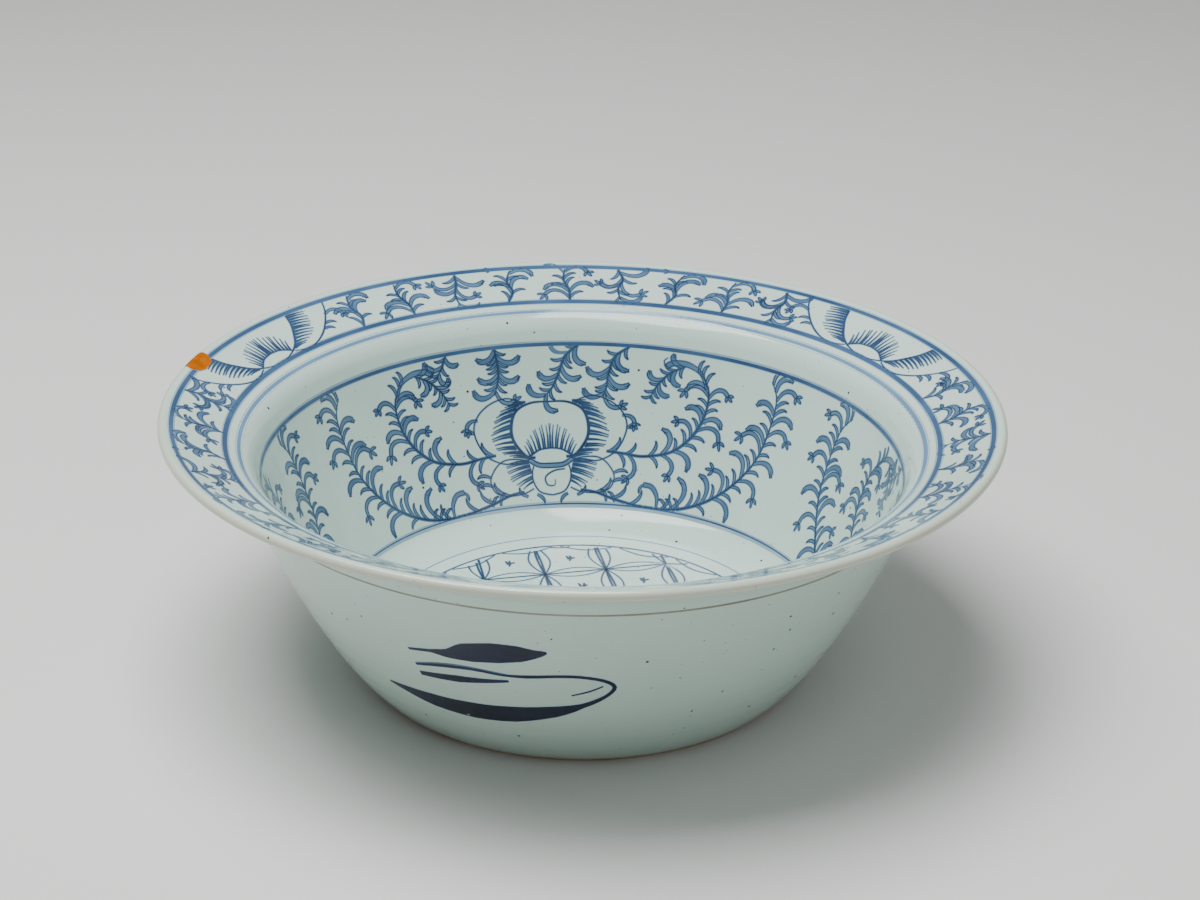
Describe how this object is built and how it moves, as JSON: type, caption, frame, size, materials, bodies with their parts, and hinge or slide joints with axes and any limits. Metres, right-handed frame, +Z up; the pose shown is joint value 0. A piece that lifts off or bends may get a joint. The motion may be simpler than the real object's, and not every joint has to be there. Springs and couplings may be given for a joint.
{
  "type": "bowl",
  "caption": "Deep round porcelain basin with a wide everted rim, a rounded lip, a turned foot ring and blue painted scrolls under a pale glaze.",
  "frame": {"origin": "centre of the foot ring, on the plane that it stands on", "axes": "+Z up along the axis of the wheel-thrown form, -Y towards the side seen in front, +X to its right"},
  "size_m": [0.38, 0.38, 0.1269],
  "materials": {
    "clay": "matte",
    "glaze": "gloss",
    "base_glaze": "gloss",
    "cobalt": "gloss",
    "fill": "satin"
  },
  "bodies": {
    "root": {"porcelain_body": "clay", "glaze_coat": "glaze", "base_glaze": "base_glaze", "rim_chip_fill": "fill"}
  },
  "joints": []
}
